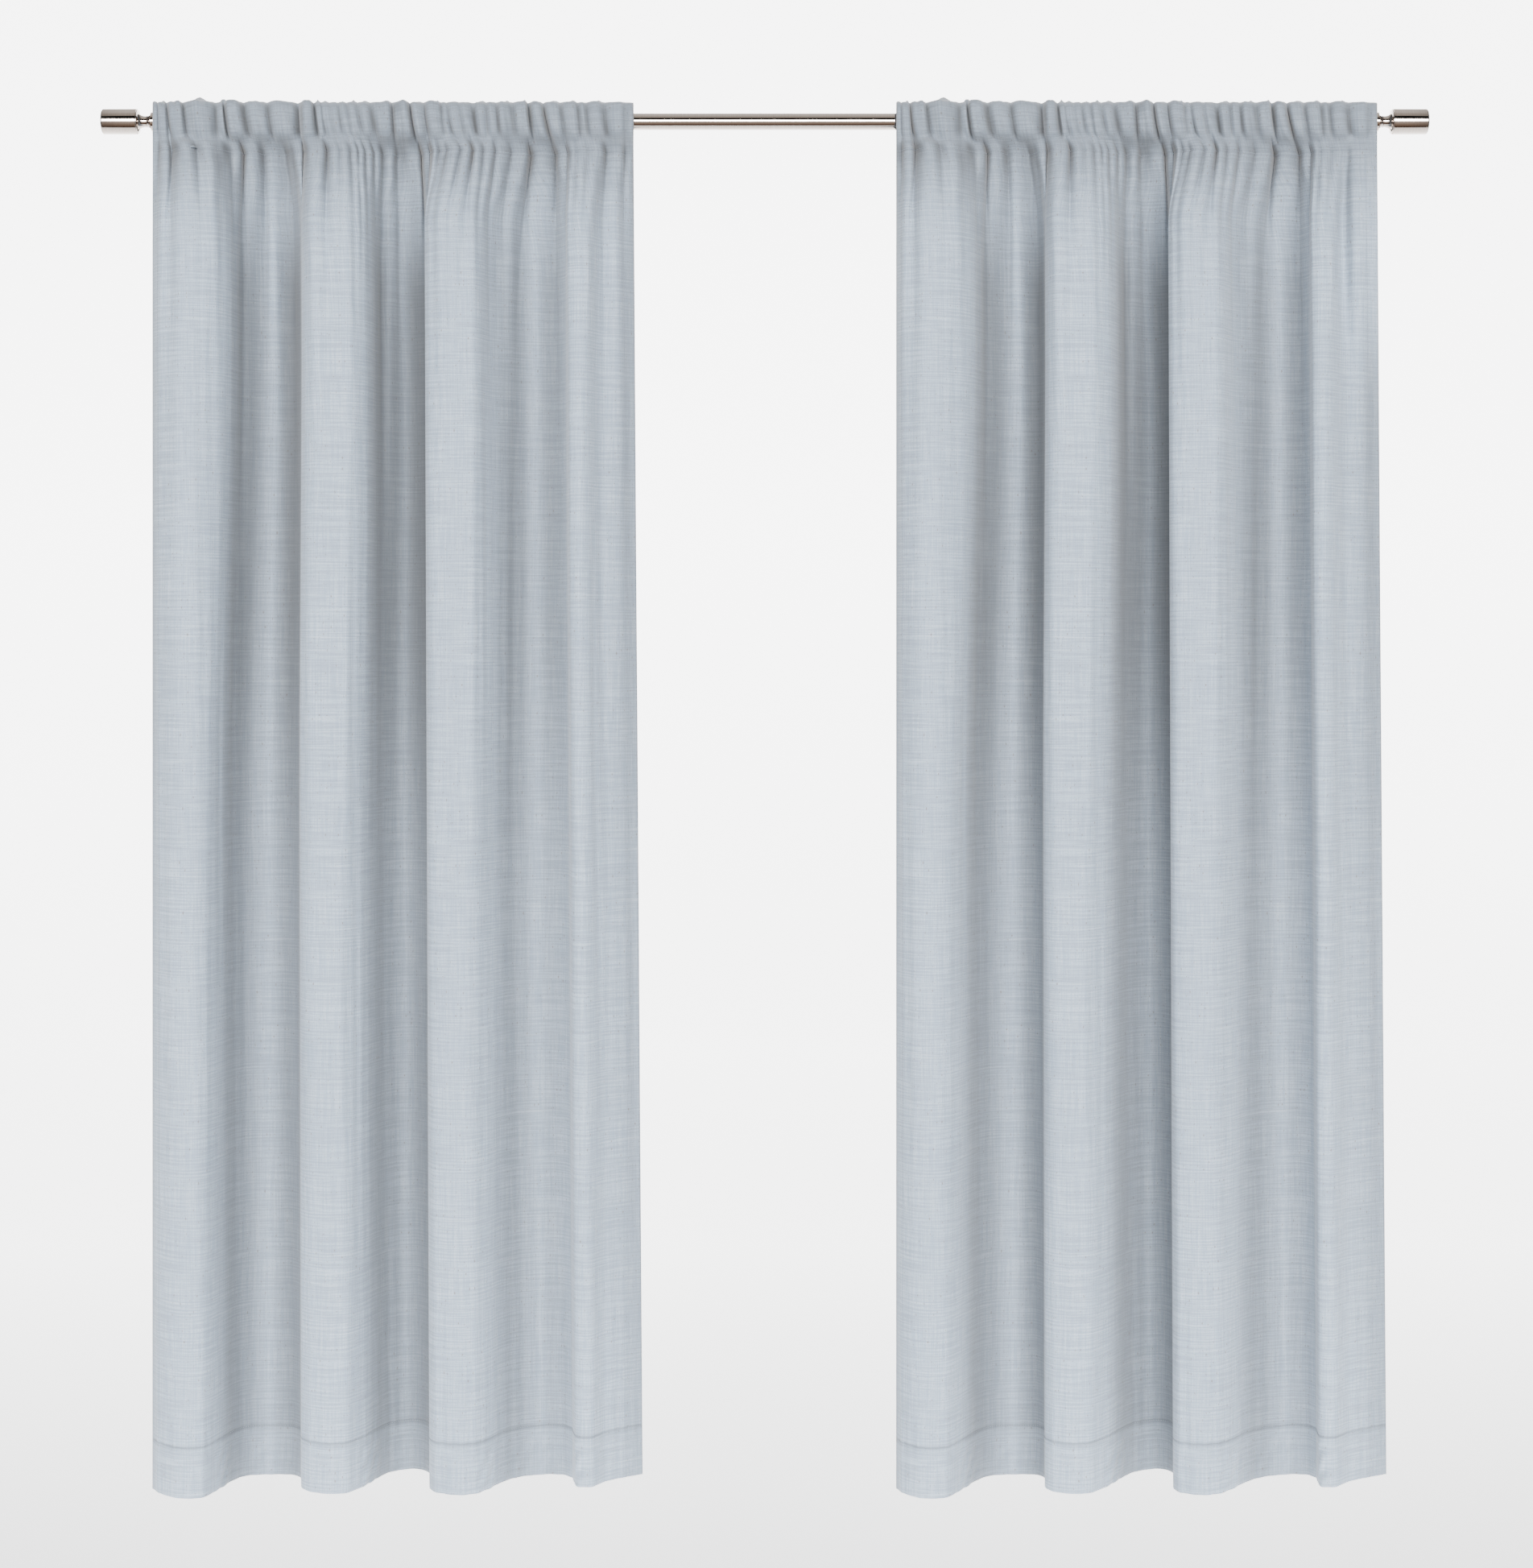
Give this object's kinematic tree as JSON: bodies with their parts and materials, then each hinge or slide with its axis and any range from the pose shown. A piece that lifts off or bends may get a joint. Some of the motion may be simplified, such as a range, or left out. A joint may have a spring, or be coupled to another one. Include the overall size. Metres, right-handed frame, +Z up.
{
  "type": "window curtains on a rod",
  "caption": "Pair of gathered rod-pocket linen curtain panels on a telescoping metal rod with drum finials and wall brackets.",
  "frame": {"origin": "on the wall's face, midway between the two brackets and level with the rod's axis", "axes": "+X along the rod to the right as seen from the room, +Y into the wall, +Z up"},
  "size_m": [2.0452, 0.174, 2.137],
  "materials": {
    "linen_cloth": "matte plain-weave linen look, pale blue grey",
    "grey_thread": "spun polyester sewing thread",
    "satin_label": "blank woven satin ribbon",
    "satin_nickel": "satin nickel plate",
    "zinc_steel": "satin nickel coloured enamel",
    "zinc_screw": "zinc plate",
    "white_plastic": "moulded polypropylene"
  },
  "bodies": {
    "wall_brackets": {"left_wall_plate": "zinc_steel", "left_bracket_arm": "zinc_steel", "left_upper_wall_screw": "zinc_screw", "left_lower_wall_screw": "zinc_screw", "left_arm_lock_screw": "zinc_screw", "right_wall_plate": "zinc_steel", "right_bracket_arm": "zinc_steel", "right_upper_wall_screw": "zinc_screw", "right_lower_wall_screw": "zinc_screw", "right_arm_lock_screw": "zinc_screw"},
    "left_clamp_screw": {"left_rod_clamp_screw": "zinc_screw"},
    "right_clamp_screw": {"right_rod_clamp_screw": "zinc_screw"},
    "rod": {"rod_outer_tube": "satin_nickel", "rod_mouth_collar": "white_plastic"},
    "inner_rod": {"rod_inner_tube": "satin_nickel", "rod_inner_glide": "white_plastic"},
    "left_finial": {"left_finial_neck": "satin_nickel", "left_finial_drum": "satin_nickel", "left_finial_plug": "white_plastic"},
    "right_finial": {"right_finial_neck": "satin_nickel", "right_finial_drum": "satin_nickel", "right_finial_plug": "white_plastic"},
    "left_outer_fold": {"left_panel_fold_1a": "linen_cloth", "left_panel_fold_1b": "linen_cloth", "left_pocket_stitching": "grey_thread", "left_hem_stitching": "grey_thread", "left_outer_side_stitching": "grey_thread", "left_care_label": "satin_label"},
    "left_second_fold": {"left_panel_fold_2a": "linen_cloth", "left_panel_fold_2b": "linen_cloth"},
    "left_third_fold": {"left_panel_fold_3a": "linen_cloth", "left_panel_fold_3b": "linen_cloth"},
    "left_lead_fold": {"left_panel_fold_4a": "linen_cloth", "left_panel_fold_4b": "linen_cloth", "left_inner_side_stitching": "grey_thread"},
    "right_lead_fold": {"right_panel_fold_1a": "linen_cloth", "right_panel_fold_1b": "linen_cloth", "right_inner_side_stitching": "grey_thread"},
    "right_third_fold": {"right_panel_fold_2a": "linen_cloth", "right_panel_fold_2b": "linen_cloth"},
    "right_second_fold": {"right_panel_fold_3a": "linen_cloth", "right_panel_fold_3b": "linen_cloth"},
    "right_outer_fold": {"right_panel_fold_4a": "linen_cloth", "right_panel_fold_4b": "linen_cloth", "right_pocket_stitching": "grey_thread", "right_hem_stitching": "grey_thread", "right_outer_side_stitching": "grey_thread", "right_care_label": "satin_label"}
  },
  "joints": [
    {"name": "rod_lift", "type": "slide", "parent": "wall_brackets", "child": "rod", "axis": [0, 0, 1], "range_m": [0, 0.03]},
    {"name": "left_clamp_screw_out", "type": "slide", "parent": "wall_brackets", "child": "left_clamp_screw", "axis": [0, 0, -1], "range_m": [0, 0.0035]},
    {"name": "right_clamp_screw_out", "type": "slide", "parent": "wall_brackets", "child": "right_clamp_screw", "axis": [0, 0, -1], "range_m": [0, 0.0035]},
    {"name": "rod_extend", "type": "slide", "parent": "rod", "child": "inner_rod", "axis": [1, 0, 0], "range_m": [0, 0.257]},
    {"name": "left_finial_pull", "type": "slide", "parent": "rod", "child": "left_finial", "axis": [-1, 0, 0], "range_m": [0, 0.045]},
    {"name": "right_finial_pull", "type": "slide", "parent": "inner_rod", "child": "right_finial", "axis": [1, 0, 0], "range_m": [0, 0.045]},
    {"name": "left_panel_draw", "type": "slide", "parent": "rod", "child": "left_lead_fold", "axis": [1, 0, 0], "range_m": [-0.34, 0.18], "deforming": ["left_panel_fold_1a", "left_panel_fold_1b", "left_panel_fold_2a", "left_panel_fold_2b", "left_panel_fold_3a", "left_panel_fold_3b", "left_panel_fold_4a", "left_panel_fold_4b", "left_pocket_stitching", "left_hem_stitching", "left_outer_side_stitching", "left_inner_side_stitching", "left_care_label"]},
    {"name": "left_third_follow", "type": "slide", "parent": "rod", "child": "left_third_fold", "axis": [1, 0, 0], "range_m": [-0.2501, 0.1334]},
    {"name": "left_second_follow", "type": "slide", "parent": "rod", "child": "left_second_fold", "axis": [1, 0, 0], "range_m": [-0.119, 0.0639]},
    {"name": "left_outer_follow", "type": "slide", "parent": "rod", "child": "left_outer_fold", "axis": [1, 0, 0], "range_m": [-0.0183, 0.0106]},
    {"name": "right_panel_draw", "type": "slide", "parent": "rod", "child": "right_lead_fold", "axis": [-1, 0, 0], "range_m": [-0.34, 0.18], "deforming": ["right_panel_fold_1a", "right_panel_fold_1b", "right_panel_fold_2a", "right_panel_fold_2b", "right_panel_fold_3a", "right_panel_fold_3b", "right_panel_fold_4a", "right_panel_fold_4b", "right_pocket_stitching", "right_hem_stitching", "right_outer_side_stitching", "right_inner_side_stitching", "right_care_label"]},
    {"name": "right_third_follow", "type": "slide", "parent": "rod", "child": "right_third_fold", "axis": [-1, 0, 0], "range_m": [-0.225, 0.1201]},
    {"name": "right_second_follow", "type": "slide", "parent": "rod", "child": "right_second_fold", "axis": [-1, 0, 0], "range_m": [-0.0939, 0.0506]},
    {"name": "right_outer_follow", "type": "slide", "parent": "rod", "child": "right_outer_fold", "axis": [-1, 0, 0], "range_m": [-0.0122, 0.0074]}
  ],
  "couplings": [
    {"joint": "left_third_follow", "follows": "left_panel_draw", "ratio": 0.7298},
    {"joint": "left_second_follow", "follows": "left_panel_draw", "ratio": 0.3441},
    {"joint": "left_outer_follow", "follows": "left_panel_draw", "ratio": 0.048},
    {"joint": "right_third_follow", "follows": "right_panel_draw", "ratio": 0.6559},
    {"joint": "right_second_follow", "follows": "right_panel_draw", "ratio": 0.2702},
    {"joint": "right_outer_follow", "follows": "right_panel_draw", "ratio": 0.0299}
  ]
}
